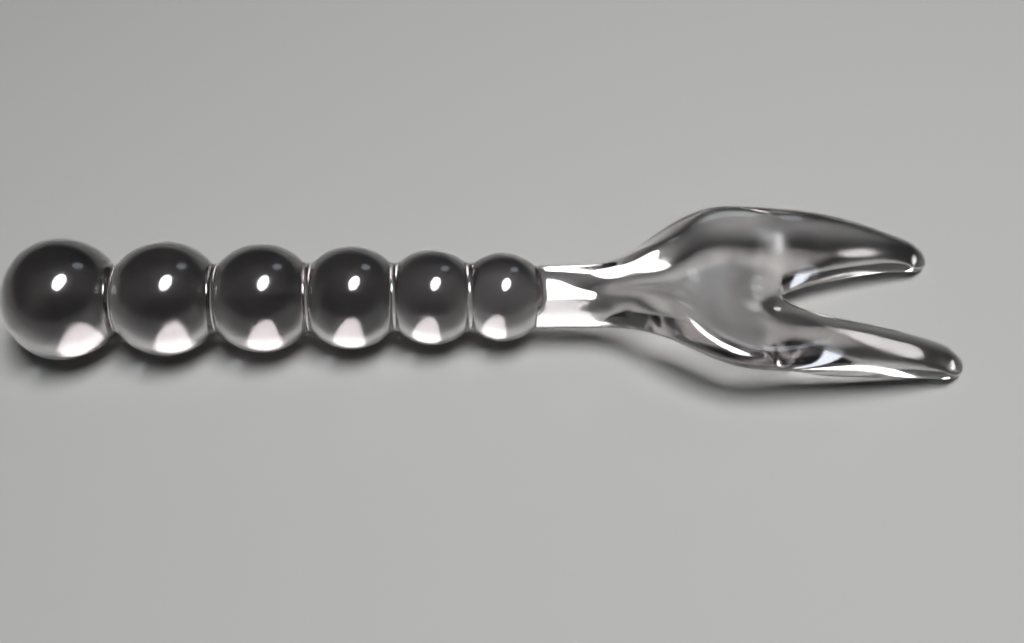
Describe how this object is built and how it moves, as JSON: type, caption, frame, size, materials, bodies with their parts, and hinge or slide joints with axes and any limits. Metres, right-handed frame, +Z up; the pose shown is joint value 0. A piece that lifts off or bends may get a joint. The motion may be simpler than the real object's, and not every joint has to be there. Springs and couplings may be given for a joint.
{
  "type": "salad serving fork",
  "caption": "Serving fork of solid clear glass with a handle of tapering balls, a round shank and a dished, flared head that splits into two rounded tines.",
  "frame": {"origin": "on the table that the fork lies on, below the middle of its bounding box", "axes": "+X along the fork from the end bead to the tines, +Y across it to the left of that direction, +Z up out of the dished side"},
  "size_m": [0.2378, 0.0528, 0.0303],
  "materials": {
    "clear_glass": "fire-polished, clear, lightly worn"
  },
  "bodies": {
    "root": {"bead_1": "clear_glass", "bead_2": "clear_glass", "bead_3": "clear_glass", "bead_4": "clear_glass", "bead_5": "clear_glass", "bead_6": "clear_glass", "shank": "clear_glass", "palm": "clear_glass", "tine_left": "clear_glass", "tine_right": "clear_glass"}
  },
  "joints": []
}
